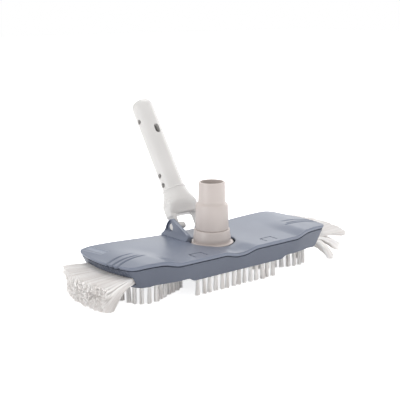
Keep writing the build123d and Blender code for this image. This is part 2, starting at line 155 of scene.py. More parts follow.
def moulded(name, light, dark, roughness, grain_mm, bump):
    """Injection-moulded plastic: a soft mottle between two close shades and the mould's fine eroded grain."""
    material, tree, shader = finish(name, roughness)
    place = {"Vector": add_node(tree, "ShaderNodeTexCoord").outputs["Object"]}
    mottle = add_node(tree, "ShaderNodeTexNoise", place, Scale=1 / (MOTTLE_MM * MM), Detail=2.0)
    shades = add_node(tree, "ShaderNodeValToRGB", {"Fac": mottle.outputs["Fac"]})
    for element, position, colour in zip(shades.color_ramp.elements, (0.35, 0.65), (dark, light)):
        element.position = position
        element.color = rgb(colour)
    tree.links.new(shades.outputs["Color"], shader.inputs["Base Color"])
    grain = add_node(tree, "ShaderNodeTexNoise", place, Scale=1 / (grain_mm * MM), Detail=1.0)
    relief = add_node(tree, "ShaderNodeBump", {"Height": grain.outputs["Fac"]}, Strength=bump, Distance=EROSION_MM * MM)
    tree.links.new(relief.outputs["Normal"], shader.inputs["Normal"])
    return material


def bare_metal(name, colour, roughness, grain_mm, detail, bump, depth_mm):
    """Bare metal of one colour, with the fine relief that casting or turning leaves on it."""
    material, tree, shader = finish(name, roughness, metallic=1.0)
    place = {"Vector": add_node(tree, "ShaderNodeTexCoord").outputs["Object"]}
    grain = add_node(tree, "ShaderNodeTexNoise", place, Scale=1 / (grain_mm * MM), Detail=detail)
    relief = add_node(tree, "ShaderNodeBump", {"Height": grain.outputs["Fac"]}, Strength=bump, Distance=depth_mm * MM)
    tree.links.new(relief.outputs["Normal"], shader.inputs["Normal"])
    shader.inputs["Base Color"].default_value = rgb(colour)
    return material


def filament_nylon():
    """White nylon filament: each bristle takes its own shade from the attribute made with it."""
    material, tree, shader = finish("white_nylon_filament", 0.38, ior=1.53)
    own = add_node(tree, "ShaderNodeAttribute", attribute_name="shade")
    shades = add_node(tree, "ShaderNodeValToRGB", {"Fac": own.outputs["Fac"]})
    for element, colour in zip(shades.color_ramp.elements, ("#e3dedb", "#fffefd")):
        element.color = rgb(colour)
    tree.links.new(shades.outputs["Color"], shader.inputs["Base Color"])
    shader.inputs["Subsurface Weight"].default_value = 0.5
    shader.inputs["Subsurface Radius"].default_value = (2 * MM, 2 * MM, 2 * MM)
    return material


# Blue-grey ABS off a lightly eroded mould: a satin sheen that spreads highlights wide.
cover_abs = moulded("satin_moulded_abs", "#747b8b", "#6f7686", 0.34, 0.9, 0.35)
# The same ABS below, given painted shade: a darker copy of the cover's colour, standing in for the lower light on the
# base's walls.
base_abs_painted_shade = moulded("satin_moulded_abs_painted_shade", "#595f6d", "#555b69", 0.42, 0.9, 0.35)
# The label plate, moulded in the cover's plastic and left matt.
plate_abs = moulded("matt_moulded_abs", "#959ba8", "#9096a3", 0.55, 0.7, 0.4)
# Warm off-white PVC of the hose fitting, nearly smooth.
fitting_pvc = moulded("warm_white_moulded_pvc", "#c9bfba", "#c4bab5", 0.33, 1.2, 0.12)
# Cooler off-white ABS of the handle, polished a little more.
handle_abs = moulded("white_moulded_abs", "#d5d3d1", "#d0cecc", 0.28, 1.2, 0.1)
# Natural polypropylene of brush strips and holders.
strip_pp = moulded("natural_polypropylene", "#d9d6cf", "#d2cfc8", 0.5, 1.0, 0.1)
# Drawn nylon of the bristles: it lets light in, so the tufts glow rather than shade.
nylon = filament_nylon()
# Sand-cast iron of the ballast: dark, dull and rough.
iron = bare_metal("sand_cast_iron", "#3c3b3a", 0.65, 1.2, 3.0, 0.6, 0.3)
# Stainless screws, turned and passivated: bright with a very fine grain.
steel = bare_metal("turned_stainless", "#c2c1bf", 0.28, 0.3, 1.0, 0.2, 0.02)
# Black nitrile of the throat seal.
nitrile = moulded("black_nitrile", "#1c1c1d", "#181819", 0.6, 0.8, 0.2)

# ---- making a mesh from a grid of points ----------------------------------------------------------


def make_piece(name, corners, faces, material, body, stands_for, sharp=35.0):
    """One object from corner points in millimetres and faces, which are turned so that its volume is positive."""
    corners = np.asarray(corners, float)
    mesh = bpy.data.meshes.new(name)
    mesh.from_pydata((corners * MM).tolist(), [], faces)
    mesh.polygons.foreach_set("use_smooth", np.ones(len(mesh.polygons), bool))
    mesh.update()
    mesh.calc_loop_triangles()
    triangles = np.empty(len(mesh.loop_triangles) * 3, np.int32)
    mesh.loop_triangles.foreach_get("vertices", triangles)
    a, b, c = corners[triangles.reshape(-1, 3)].transpose(1, 0, 2)
    if np.einsum("ij,ij->i", a, np.cross(b, c)).sum() < 0:
        mesh.flip_normals()
    mesh.set_sharp_from_angle(angle=math.radians(sharp))
    mesh.materials.append(material)
    piece = bpy.data.objects.new(name, mesh)
    bpy.context.scene.collection.objects.link(piece)
    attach(piece, body)
    if stands_for:
        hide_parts(*stands_for)
    return piece


def grid_faces(rows, columns, loop):
    """Quads of a grid whose columns run round and close. With loop the last row joins the first; else fans close it."""
    index = np.arange(rows * columns).reshape(rows, columns)
    beside = np.roll(index, -1, axis=1)
    if loop:
        quads = np.stack([index, beside, np.roll(beside, -1, axis=0), np.roll(index, -1, axis=0)], axis=-1)
        return quads.reshape(-1, 4).tolist()
    quads = np.stack([index[:-1], beside[:-1], beside[1:], index[1:]], axis=-1).reshape(-1, 4).tolist()
    start = np.stack([beside[0], index[0], np.full(columns, rows * columns)], axis=-1).tolist()
    end = np.stack([index[-1], beside[-1], np.full(columns, rows * columns + 1)], axis=-1).tolist()
    return quads + start + end


def skin(name, points, material, body, stands_for=(), slot=None, loop=False, sharp=35.0):
    """A grid of points, rows by columns by three, as one closed skin."""
    rows, columns = points.shape[:2]
    corners = points.reshape(-1, 3)
    if not loop:
        corners = np.vstack((corners, points[[0, -1]].mean(axis=1)))
    return make_piece(name, corners, grid_faces(rows, columns, loop), material, body, stands_for, sharp)


def soft_step(value, low, high):
    """Rises smoothly from 0 at low to 1 at high."""
    share = np.clip((value - low) / (high - low), 0, 1)
    return share * share * (3 - 2 * share)


def unit(angle):
    """Points on the unit circle at the angles."""
    return np.stack((np.cos(angle), np.sin(angle)), axis=-1)


def turned(profile, count):
    """A surface of revolution about +Z: each profile point (radius, height) becomes a ring."""
    radius, height = np.array(profile, float).T
    ring = unit(np.linspace(0, 2 * np.pi, count, endpoint=False))
    points = np.empty((len(radius), count, 3))
    points[..., :2] = radius[:, None, None] * ring
    points[..., 2] = height[:, None]
    return points


def eased(points, radii, steps=5):
    """A profile with rounded corners: each becomes a parabola between the points one radius before and after it."""
    points = np.array(points, float)
    before, after = np.roll(points, 1, axis=0), np.roll(points, -1, axis=0)
    made = []
    for corner, last, following, radius in zip(points, before, after, radii):
        if radius == 0:
            made.append(corner)
            continue
        start = corner + (last - corner) / np.linalg.norm(last - corner) * radius
        end = corner + (following - corner) / np.linalg.norm(following - corner) * radius
        for t in np.linspace(0, 1, steps):
            made.append((1 - t) ** 2 * start + 2 * t * (1 - t) * corner + t * t * end)
    return np.array(made)


def running_mean(line, window):
    """A closed line of points with its corners rounded: each point becomes the mean of so many neighbours."""
    padded = np.vstack((line[-window:], line, line[:window]))
    total = np.cumsum(np.vstack((np.zeros((1, 2)), padded)), axis=0)
    mean = (total[window:] - total[:-window]) / window
    shift = window - window // 2
    return mean[shift:shift + len(line)]


def read_off(at, places, line):
    """Points of a plan line at given places along it, straight between its own points."""
    return np.stack([np.interp(at, places, line[:, k]) for k in (0, 1)], axis=-1)


def run_along(line):
    """Distance along a line of points, from its start to each point."""
    return np.concatenate(([0], np.cumsum(np.linalg.norm(np.diff(line, axis=0), axis=1))))


# ---- head: plan outline, top surface and seam -----------------------------------------------------

SKIRT_FOOT, RIM_HEIGHT = 20.5, 46.0
RIM_ROUND = 1.8
WALL = 2.4
COVER_THICKNESS = 2.2
HOLE_RADIUS, HOLE_ROUND = 28.0, 1.4
SEAM_HALF_GAP = 0.6
BEVEL_START = 92  # half the length of the straight front, where its bevelled ends start
CORNER_WINDOW = 17  # how many steps of the outline its rounding takes in
RIM_FRONT, RIM_BACK = -56.5, 62.0
SEAM_FRONT, SEAM_BACK = -68.5, 74.0  # where the seam's front and back height lines hold


def rim_share(z):
    """How far up the slanting wall a height lies: 0 at the foot of the skirt, 1 at the rim."""
    return (z - SKIRT_FOOT) / (RIM_HEIGHT - SKIRT_FOOT)


def through(t, a, b, c):
    """The parabola that passes a, b and c at t = 0, a half and 1."""
    return a * (1 - t) * (1 - 2 * t) + 4 * b * t * (1 - t) + c * t * (2 * t - 1)


def fine_outline(share):
    """The head's plan at about 1 mm steps, from the skirt's foot (share 0) to the rim (share 1): a straight front
    with bevelled ends, and sides and back bowed as parabolas, with the corners rounded by a running mean."""
    front, front_corner = 52 + 4.5 * share, 43 + 3.5 * share
    back, back_corner = 57 + 5 * share, 53.5 + 5 * share
    corner, rear_corner, end = 134 + 12 * share, 139.5 + 11 * share, 144 + 13 * share
    slant, cut_back = corner - BEVEL_START, front - front_corner
    bulge = 3.0  # how far back the end walls stand out most
    flat, bevel, side, rear = (np.arange(n)[:, None] / n for n in (184, 56, 108, 290))
    parts = (
        np.hstack((-BEVEL_START + 2 * BEVEL_START * flat, 0 * flat - front)),
        np.hstack((BEVEL_START + slant * bevel, -front + cut_back * bevel)),
        np.hstack((through(side, corner, end, rear_corner), through(side, -front_corner, bulge, back_corner))),
        np.hstack((rear_corner - 2 * rear_corner * rear, through(rear, back_corner, back, back_corner))),
        np.hstack((through(side, -rear_corner, -end, -corner), through(side, back_corner, bulge, -front_corner))),
        np.hstack((-corner + slant * bevel, -front_corner - cut_back * bevel)),
    )
    return running_mean(np.vstack(parts), CORNER_WINDOW)


def outline_steps():
    """Column places along the fine outline: every 2.4 mm, and every half millimetre where the end grooves meet it."""
    line = fine_outline(1.0)
    fine = (np.abs(line[:, 0]) > 136) & (line[:, 1] < 2)
    spacing = np.where(fine, 0.5, 2.4)
    places = np.cumsum(1 / spacing)
    count = int(places[-1])
    return np.interp(np.arange(count) + 0.5, places, np.arange(len(line)))


steps_round = outline_steps()


def outline_at(share, inset=0.0):
    """The rounded outline at the column places, moved in along its own normals by the inset."""
    line = fine_outline(share)
    size = len(line)
    wrapped = np.vstack((line, line[:1]))
    points, ahead, behind = (read_off((steps_round + step) % size, np.arange(size + 1), wrapped) for step in (0, 3, -3))
    along = ahead - behind
    along /= np.linalg.norm(along, axis=1, keepdims=True)
    inward = np.stack((-along[:, 1], along[:, 0]), axis=-1)
    return points + inward * np.reshape(inset, (-1, 1))


def crease(x, t):
    """The step up from the middle plateau to the end lobes: it swings outwards and fades towards the back."""
    centre = 97 + 3 * soft_step(t, 0.0, 0.35) + 16 * soft_step(t, 0.3, 1.0)
    half = 10 + 8 * t
    return soft_step(np.abs(x), centre - half, centre + half) * (1 - 0.8 * soft_step(t, 0.25, 0.95))


def top_height(x, y):
    """The cover's crowned top: a front and a back height line blended across, with a dip in the middle of the front
    and lobes at the ends."""
    t = (y - RIM_FRONT) / (RIM_BACK - RIM_FRONT)
    side = np.abs(x)
    dip = (1 - soft_step(side, 4, 26)) * (1 - 0.45 * soft_step(t, 0.06, 0.22))
    front = 46.6 - 4.2 * dip - 2.2 * soft_step(side, 125, 157)
    back = 44.6 + 5.2 * soft_step(side, 10, 136) - 2.0 * soft_step(side, 134, 157)
    return (1 - t) * front + t * back + 4.8 * (1 - t) * crease(x, t)


def seam_height(x, y):
    """The seam between cover and base: it follows the top along the front and runs lower along the back."""
    t = (y - SEAM_FRONT) / (SEAM_BACK - SEAM_FRONT)
    side = np.abs(x)
    front = 38.0 + 4.6 * soft_step(side, 4, 26) + 4.8 * soft_step(side, 88, 112) - 2.2 * soft_step(side, 120, 157)
    back = 36.0 + 3.0 * soft_step(side, 16, 105) + 4.4 * soft_step(side, 95, 150)
    return (1 - t) * front + t * back


# Each groove's y at its inner end and at the rim, and its x at the rim and at its inner end.
end_grooves = ((1.0, -8.0, 150.0, 113.0), (-10.0, -17.0, 148.0, 112.0), (-15.0, -25.0, 147.0, 104.0))
GROOVE_DEPTH, NOTCH_DROP, NOTCH_DEPTH = 2.0, 1.8, 2.1


def groove_share(x, y):
    """Depth share of the three swept grooves at each end: each curves in from the rim and fades out where it ends."""
    side = np.abs(x)
    share = np.zeros_like(side)
    for y_end, y_rim, x_rim, x_end in end_grooves:
        run = (side - x_end) / (x_rim - x_end)
        centre = y_end - (y_end - y_rim) * np.clip(run, 0, 1.3) ** 2.2
        width = 1.3 + 0.7 * np.clip(run, 0, 1)
        across = np.clip(1 - ((y - centre) / (1.1 * width)) ** 2, 0, 1)
        share = np.maximum(share, across * soft_step(run, -0.02, 0.22) * (0.55 + 0.45 * np.clip(run, 0, 1)))
    return share


def with_height(plan, height):
    """Plan points and heights as points in space."""
    return np.concatenate([plan, np.broadcast_to(height, plan.shape[:-1])[..., None]], axis=-1)


def wall_row(z_of, inset):
    """One ring of the wall at its own height along the outline, on the slanting surface moved in by the inset. The
    height is a function of x and y, so the place is found from the rim's height and then once more from its own."""
    foot, rim = outline_at(0.0, inset), outline_at(1.0, inset)
    plan = rim
    for _ in range(2):
        plan = foot + (rim - foot) * rim_share(z_of(*plan.T))[:, None]
    return with_height(plan, z_of(*plan.T))


def bearings(plan):
    """Unit directions from the hose's axis to plan points."""
    return unit(np.arctan2(plan[:, 1], plan[:, 0]))


def cover_surface():
    """The cover's closed shell: rings from the hose hole out to the rim, round it, down the wall and back inside."""
    rim = outline_at(rim_share(48.0), RIM_ROUND)
    hole = bearings(rim)
    rows = []

    def ring(radius, plan_share, lower, grooved):
        inner = hole * radius
        plan = inner + (rim - inner) * plan_share
        height = top_height(*plan.T) - lower
        if grooved:
            height = height - GROOVE_DEPTH * groove_share(*plan.T)
        rows.append(with_height(plan, height))

    for turn in np.linspace(0, np.pi / 2, 6):
        ring(HOLE_RADIUS + HOLE_ROUND * (1 - np.cos(turn)), 0.0, HOLE_ROUND * (1 - np.sin(turn)), False)
    for share in np.concatenate((np.linspace(0, 0.52, 26)[1:], np.linspace(0.53, 1, 66))):
        ring(HOLE_RADIUS + HOLE_ROUND, share, 0.0, True)
    for turn in np.linspace(0, np.pi / 2, 8)[1:]:
        inset = RIM_ROUND * (1 - np.sin(turn))
        drop = RIM_ROUND * (1 - np.cos(turn))
        plain = wall_row(lambda x, y: top_height(x, y) - drop, inset)
        notch = groove_share(plain[:, 0], plain[:, 1])
        lower = NOTCH_DROP * notch * np.cos(turn)
        rows.append(wall_row(lambda x, y: top_height(x, y) - drop - lower, inset + NOTCH_DEPTH * notch * np.sin(turn)))
    for share in (0.3, 0.6, 0.9, 1.0):
        def z_of(x, y):
            top = top_height(x, y) - RIM_ROUND
            return top + (seam_height(x, y) + SEAM_HALF_GAP - top) * share
        plain = wall_row(z_of, 0.0)
        notch = groove_share(plain[:, 0], plain[:, 1])
        rows.append(wall_row(z_of, np.minimum(NOTCH_DEPTH * notch + 0.35 * (share == 1.0), WALL - 0.2)))
    rows.append(wall_row(lambda x, y: seam_height(x, y) + SEAM_HALF_GAP, WALL))
    inner_rim = wall_row(lambda x, y: top_height(x, y) - COVER_THICKNESS, WALL)[:, :2]
    edge = hole * HOLE_RADIUS
    for share in np.linspace(0, 1, 12):
        plan = inner_rim + (edge - inner_rim) * share
        rows.append(with_height(plan, top_height(*plan.T) - COVER_THICKNESS))
    return np.array(rows)


# ---- base tray -------------------------------------------------------------------------------------

DECK_UNDER, DECK_TOP = 24.0, 27.5
THROAT_BORE, THROAT_FLARE = 16.5, 5
TOWER_RADIUS, TOWER_BORE, TOWER_SEAT, TOWER_TOP = 26.9, 21.45, 35.0, 42.9
FLUTE_PITCH, FLUTE_DEPTH = 4.2, 0.9


def foot_height(x, y):
    """The bottom edge of the skirt: lowest in front of the middle brushes, lifted where the angled brushes show."""
    side = np.abs(x)
    front = SKIRT_FOOT + 4.5 * soft_step(side, 66, 76) - 1.5 * soft_step(side, 114, 124)
    back = SKIRT_FOOT + 3.0 * soft_step(side, 100, 124)
    return np.where(y < 0, front, back)


def fluting(x, y, z, seam):
    """Depth share of the end walls' upright flutes: shallow scallops side by side, up to just below the seam."""
    wave = 0.5 - 0.5 * np.cos(2 * np.pi * y / FLUTE_PITCH)
    at_end = soft_step(np.abs(x), 138, 143) * (1 - soft_step(np.abs(y), 38, 42))
    return wave ** 0.8 * at_end * soft_step(z, 27, 29) * (1 - soft_step(z, seam - 2.2, seam - 1.4))


def base_surface():
    """The base's closed shell: rings down the throat and its flare, out under the deck, down the inside of the skirt,
    round its foot and up the outer wall, then over the tongue to the deck's top and up the throat's tower."""
    hole = bearings(outline_at(0.5, 6.0))
    rows = [with_height(hole * THROAT_BORE, TOWER_SEAT)]
    for turn in np.linspace(0, np.pi / 2, 6):
        radius = THROAT_BORE + THROAT_FLARE * (1 - np.cos(turn))
        rows.append(with_height(hole * radius, DECK_UNDER + THROAT_FLARE * (1 - np.sin(turn))))
    mouth = hole * (THROAT_BORE + THROAT_FLARE)
    inner = wall_row(lambda x, y: 0 * x + DECK_UNDER, 3.0)[:, :2]
    for share in (0.2, 0.45, 0.7, 0.9, 1.0):
        rows.append(with_height(mouth + (inner - mouth) * share, DECK_UNDER))
    for inset, lift in ((3.0, 1.0), (2.6, 0.35), (1.5, 0.0), (0.45, 0.3), (0.0, 1.1)):
        highest = DECK_UNDER + 0.9 + 0.2 * lift
        rows.append(wall_row(lambda x, y: np.minimum(foot_height(x, y) + lift, highest), inset))
    for share in np.linspace(0.06, 1.0, 15):
        def z_of(x, y):
            foot = foot_height(x, y) + 1.1
            return foot + (seam_height(x, y) - SEAM_HALF_GAP - foot) * share
        x, y, z = wall_row(z_of, 0.0).T
        seam = seam_height(x, y)
        notch = groove_share(x, y) * soft_step(z, seam - 5.5, seam - 3.0)
        rows.append(wall_row(z_of, FLUTE_DEPTH * fluting(x, y, z, seam) + 1.6 * notch + 0.3 * (share == 1.0)))
    for inset, lift in ((2.52, -SEAM_HALF_GAP), (2.6, 1.4), (3.9, 1.4)):
        rows.append(wall_row(lambda x, y: seam_height(x, y) + lift, inset))
    deck = wall_row(lambda x, y: 0 * x + DECK_TOP, 3.92)
    rows.append(deck)
    tower = hole * TOWER_RADIUS
    for share in (0.5, 1.0):
        rows.append(with_height(deck[:, :2] + (tower - deck[:, :2]) * share, DECK_TOP))
    for radius, height in ((TOWER_RADIUS, TOWER_TOP), (TOWER_BORE, TOWER_TOP), (TOWER_BORE, TOWER_SEAT)):
        rows.append(with_height(hole * radius, height))
    return np.array(rows)


def box_plan(x, y, half_x, half_y, turn=0.0):
    """Plan corners of a rectangle about a centre, turned by an angle."""
    signs = np.array([(-1, -1), (1, -1), (1, 1), (-1, 1)], float)
    c, s = math.cos(turn), math.sin(turn)
    return signs * (half_x, half_y) @ np.array(((c, s), (-s, c))) + (x, y)


def prisms(blocks):
    """Upright blocks, each from its plan corners and its low and high ends, as one set of corners and faces."""
    corners, faces, used = [], [], 0
    for plan, low, high in blocks:
        count = len(plan)
        corners.append(np.vstack((with_height(plan, low), with_height(plan, high))))
        index = used + np.arange(count)
        beside = np.roll(index, -1)
        faces.extend(np.stack((index, beside, beside + count, index + count), axis=-1).tolist())
        faces.extend((index[::-1].tolist(), (index + count).tolist()))
        used += 2 * count
    return np.vstack(corners), faces


def carve(piece, name, blocks):
    """Cuts blocks out of a piece with a Boolean modifier and keeps the cut mesh."""
    corners, faces = prisms(blocks)
    mesh = bpy.data.meshes.new(name)
    mesh.from_pydata((corners * MM).tolist(), [], faces)
    mesh.update()
    cutter = bpy.data.objects.new(name, mesh)
    bpy.context.scene.collection.objects.link(cutter)
    modifier = piece.modifiers.new(name, "BOOLEAN")
    modifier.operation = "DIFFERENCE"
    modifier.solver = "EXACT"
    modifier.object = cutter
    bpy.context.view_layer.update()
    graph = bpy.context.evaluated_depsgraph_get()
    cut = piece.evaluated_get(graph)
    finished = bpy.data.meshes.new_from_object(cut, preserve_all_data_layers=True, depsgraph=graph)
    piece.modifiers.clear()
    piece.data = finished
    bpy.data.objects.remove(cutter)
    finished.set_sharp_from_angle(angle=math.radians(35))


cover_parts = {"material": cover_abs, "body": "head", "stands_for": ("top_cover",), "slot": "cover_plastic"}
cover = skin("cover_shell", cover_surface(), **cover_parts, loop=True, sharp=55.0)
# The base tray wears the darker copy of the cover's plastic: painted shade for its walls under the cover's rim.
base = skin("base_tray", base_surface(), base_abs_painted_shade, "head", ("base_shell",), "base_plastic", loop=True)

# The cover's cuts: the bare recess for a label, and two latch outlines whose legs point to the front.
CLEAR_ABOVE = 6
label_turn, label_place = math.radians(101), (-139.2, 40.8)
label_top = float(top_height(-138.5, 41.0))
latch_x, latch_y = 54.0, -41.0
latch_top = float(top_height(latch_x, latch_y))
latch_out, latch_in = 8.8, 7.4  # half widths over the outside and the inside of its line
latch = np.array((
    (-latch_out, -7.5), (-latch_in, -7.5), (-latch_in, 4.8), (latch_in, 4.8),
    (latch_in, -7.5), (latch_out, -7.5), (latch_out, 6.2), (-latch_out, 6.2),
))
carve(cover, "cover_cuts", [
    (box_plan(*label_place, 17.4, 7.4, label_turn), label_top - 0.9, label_top + CLEAR_ABOVE),
    *((latch + (side * latch_x, latch_y), latch_top - 1.7, latch_top + CLEAR_ABOVE) for side in (-1, 1)),
])

# The base's cuts: the mouths that the side brushes come out through.
carve(base, "base_cuts", [(box_plan(side * 150.0, 0.0, 14.0, 41.0), 28.0, 36.8) for side in (-1, 1)])

# ---- label plate, hose fitting and its flange ------------------------------------------------------


def rounded_plate(length, width, corner, count=12):
    """Outline of a flat rounded rectangle: a circle's points pushed out by the straight parts' half lengths."""
    ring = unit((np.arange(4 * count) + 0.5) / (4 * count) * 2 * np.pi)
    half = np.array((length / 2 - corner, width / 2 - corner))
    return ring * corner + np.sign(ring) * half


def label_surface():
    """The label plate with its raised rim, laid on the cover's slope where the recess is: each ring of its outline
    is a rounded rectangle shrunk by so much and raised by so much."""
    plate = rounded_plate(34.4, 14.4, 0.7)
    c, s = math.cos(label_turn), math.sin(label_turn)
    slope_x = float(top_height(-130.0, 41.0) - top_height(-147.0, 41.0)) / 17
    slope_y = float(top_height(-138.5, 54.0) - top_height(-138.5, 28.0)) / 26
    rows = []
    for shrink, level in ((0.0, -1.6), (0.0, -0.3), (0.3, 0.0), (1.4, 0.0), (1.7, -0.75), (2.2, -0.8)):
        flat = (plate - np.sign(plate) * shrink) @ np.array(((c, s), (-s, c)))
        rows.append(with_height(flat + label_place, label_top + level + flat @ (slope_x, slope_y)))
    return np.array(rows)


skin("label_plate", label_surface(), plate_abs, "head", ("nameplate",), "plate_plastic")

# The hose fitting: stub in the swivel, large hose part, shoulder and small hose part, then both bores.
fitting_profile = eased(
    [
        (15.5, 36.5), (18.5, 36.5), (18.5, 60.5), (20.1, 60.5), (19.4, 90.2),
        (16.3, 93.4), (15.9, 117.6), (13.5, 117.6), (13.5, 89.0), (15.5, 86.4),
    ],
    [0, 0, 0, 0.6, 1.3, 1.3, 0.9, 0.7, 0.5, 0.5],
)
skin(
    "stepped_hose_fitting", turned(fitting_profile, 128), fitting_pvc,
    "connector", ("hose_connector",), "connector_plastic", loop=True,
)

# Collar and seat flange in one moulding: the collar is drawn in a little where it meets the flange.
collar_profile = eased(
    [
        (18.6, 42.0), (21.3, 42.0), (21.3, 43.1), (25.8, 43.1), (25.8, 44.3),
        (22.0, 44.8), (22.9, 48.5), (21.4, 60.2), (18.6, 60.2),
    ],
    [0, 0, 0, 0.4, 0.6, 0.6, 2.4, 0.9, 0.5],
)
skin(
    "swivel_collar_flange", turned(collar_profile, 128), fitting_pvc,
    "head", ("swivel_collar", "seat_ring"), "collar_plastic", loop=True,
)

# ---- handle bracket: two fins on the cover ---------------------------------------------------------

PIVOT_Y, PIVOT_Z, PIN_HOLE = 49.0, 56.0, 5.1
FIN_CORNERS = (
    (12.0, 44.0), (12.3, 50.5), (22.0, 55.0), (43.5, 65.2), (48.0, 66.8),
    (52.5, 65.0), (57.0, 60.0), (59.4, 55.0), (61.0, 50.0), (63.0, 44.0),
)


def fin_outline(count=120):
    """A fin's side view, as distance from the pivot by direction: straight runs between corners that a running mean
    rounds."""
    corners = np.array(FIN_CORNERS)
    loop = np.vstack((corners, corners[:1]))
    run = run_along(loop)
    line = running_mean(read_off(np.arange(0, run[-1], 0.4), run, loop), 9)
    arm = line - (PIVOT_Y, PIVOT_Z)
    angle = np.arctan2(arm[:, 1], arm[:, 0])
    order = np.argsort(angle)
    wanted = np.linspace(-np.pi, np.pi, count, endpoint=False)
    return wanted, np.interp(wanted, angle[order], np.linalg.norm(arm, axis=1)[order], period=2 * np.pi)


def fin_surface(side):
    """One fin as rings round its pin hole: out over the inner face, round the edge, back over the outer face and in
    through the hole. It flares outwards at its foot and is hollowed behind the pivot on its outer face."""
    angle, reach = fin_outline()
    ring = unit(angle)
    rows = []

    def ring_at(share, x, shrink=0.0):
        flat = ring * (PIN_HOLE + (reach - shrink - PIN_HOLE) * share)[:, None] + (PIVOT_Y, PIVOT_Z)
        flare = 5.0 * np.clip(1 - (flat[:, 1] - 46.5) / 7.0, 0, 1) ** 2 * (x > 22)
        behind = soft_step(flat[:, 0], PIVOT_Y - 3.0, PIVOT_Y + 1.0) * soft_step(flat[:, 1], 50.0, 52.0)
        pocket = 2.6 * behind * (x > 25.9) * float(share < 0.8)
        rows.append(np.stack((side * (x + flare - pocket), flat[:, 0], flat[:, 1]), axis=-1))

    for share in np.linspace(0, 1, 8):
        ring_at(share, 21.0, 0.7)
    ring_at(1.0, 21.2, 0.2)
    ring_at(1.0, 21.7)
    ring_at(1.0, 25.3)
    ring_at(1.0, 25.8, 0.2)
    for share in (1.0, 0.82, 0.79, 0.6, 0.4, 0.2, 0.0):
        ring_at(share, 26.0, 0.7 * share)
    return np.array(rows)


for side, side_name in SIDES:
    skin(f"bracket_fin_{side_name}", fin_surface(side), **cover_parts, loop=True)

# Pivot pins: a knob inside the fork, longer on the left, then a plain shank through the leg and the fin, with an end
# that stops short of the fin's outer face. Each profile starts and ends just off the axis, so its rings don't shut.
PIN_AXIS, PIN_END = 0.05, 24.0
for (side, side_name), knob_start, knob_end in zip(SIDES, (4.6, 13.6), (8.2, 14.6)):
    profile = eased(
        [
            (PIN_AXIS, knob_start), (4.0, knob_start), (4.0, knob_end),
            (4.45, knob_end), (4.45, PIN_END), (PIN_AXIS, PIN_END),
        ],
        [0, 1.2, 0.2, 0.2, 0.6, 0],
    )
    rings = turned(profile, 48)
    pin = np.stack((side * rings[..., 2], PIVOT_Y + rings[..., 0], PIVOT_Z + rings[..., 1]), axis=-1)
    skin(f"pivot_pin_{side_name}", pin, handle_abs, "handle", (f"{side_name}_pivot_pin",), "handle_plastic")

# ---- handle fork -----------------------------------------------------------------------------------

LEAN = math.radians(34.0)


def on_handle(across, depth, up):
    """Points given across the handle, towards its back and up along it from the pivot, in the head's own frame."""
    return np.stack((
        across,
        PIVOT_Y + depth * math.cos(LEAN) + up * math.sin(LEAN),
        PIVOT_Z - depth * math.sin(LEAN) + up * math.cos(LEAN),
    ), axis=-1)


def superellipse(half_across, half_depth, power, count=96):
    """A ring between a circle (power 2) and a rounded rectangle (higher powers): each of a circle's two coordinates
    is raised to 2 over the power, with its sign kept."""
    turn = (np.arange(count) + 0.5) / count * 2 * np.pi
    c, s = np.cos(turn), np.sin(turn)
    return half_across * np.sign(c) * np.abs(c) ** (2 / power), half_depth * np.sign(s) * np.abs(s) ** (2 / power)


RIBS_START, RIBS_END, RIB_PITCH, RIB_HEIGHT = 26.2, 36.6, 2.6, 0.8


def fork_shoulder():
    """The fork's body: rings from a flat arch over the legs up to the round socket with its lip, and four grip ribs
    on each side, which rise and fall as a cosine."""
    arch, ribbed, socket = (14.0, 14.3, 15.2, 17, 20, 23), (26, *np.linspace(27, 36.6, 13)), (38, 40, 42, 44, 46)
    lip = (46.6, 47.0, 48.2, 48.8, 49.0)
    up = np.array((*arch, *ribbed, *socket, *lip))
    half_across = np.interp(up, (14, 20, 26, 30.5, 36, 41, 46, 49), (23.2, 23.4, 22.4, 21.0, 18.6, 16.6, 15.2, 14.9))
    half_depth = np.interp(up, (14, 18, 22, 26, 29.4, 34, 46, 49), (6.7, 8.4, 10.9, 13.0, 14.3, 14.7, 14.8, 14.9))
    power = np.interp(up, (14, 22, 29, 36, 44), (5.5, 4.0, 2.9, 2.4, 2.0))
    trim = np.interp(up, (*arch[:3], *lip), (0.9, 0.35, 0.0, 0.0, -0.45, -0.45, -0.15, 0.3))
    rows = []
    for level, wide, deep, shape, cut in zip(up, half_across, half_depth, power, trim):
        across, depth = superellipse(wide - cut, deep - cut, shape)
        wave = 0.5 - 0.5 * np.cos(2 * np.pi * (level - RIBS_START) / RIB_PITCH)
        rib = RIB_HEIGHT * wave * (RIBS_START < level < RIBS_END)
        side = soft_step(np.abs(across) / wide, 0.5, 0.8)
        rows.append(on_handle(across + np.sign(across) * rib * side, depth, level + 0 * across))
    return np.array(rows)


FOOT_RADIUS = 6.7


def fork_leg(side):
    """One leg: rings from its rounded foot below the pivot up into the shoulder, with a thicker pad above the fin."""
    foot = -FOOT_RADIUS * np.cos(np.linspace(0, np.pi / 2, 9))
    up = np.concatenate((foot, [4, 8, 10.4, 11.2, 12.0, 12.8, 13.6, 16, 20]))
    rows = []
    for level in up:
        half_depth = math.sqrt(max(FOOT_RADIUS ** 2 - min(level, 0) ** 2, 0.3))
        outer = 20.4 + 2.8 * float(soft_step(level, 10.4, 13.6))
        inner = 15.0 - 2.5 * float(soft_step(level, 10.0, 14.5)) ** 2
        across, depth = superellipse((outer - inner) / 2, half_depth, 5.0, 64)
        rows.append(on_handle(side * ((outer + inner) / 2 + across), depth, level + 0 * across))
    return np.array(rows)


skin("fork_shoulder", fork_shoulder(), handle_abs, "handle", ("handle_fork",), "handle_plastic")
for side, side_name in SIDES:
    skin(f"fork_leg_{side_name}", fork_leg(side), handle_abs, "handle", ("handle_fork",), "handle_plastic")

# ---- brushes ---------------------------------------------------------------------------------------

seeded = np.random.default_rng(7)
ANY_WAY = (0.31, 0.87, 0.38)  # a direction that no filament follows, to start its rings from


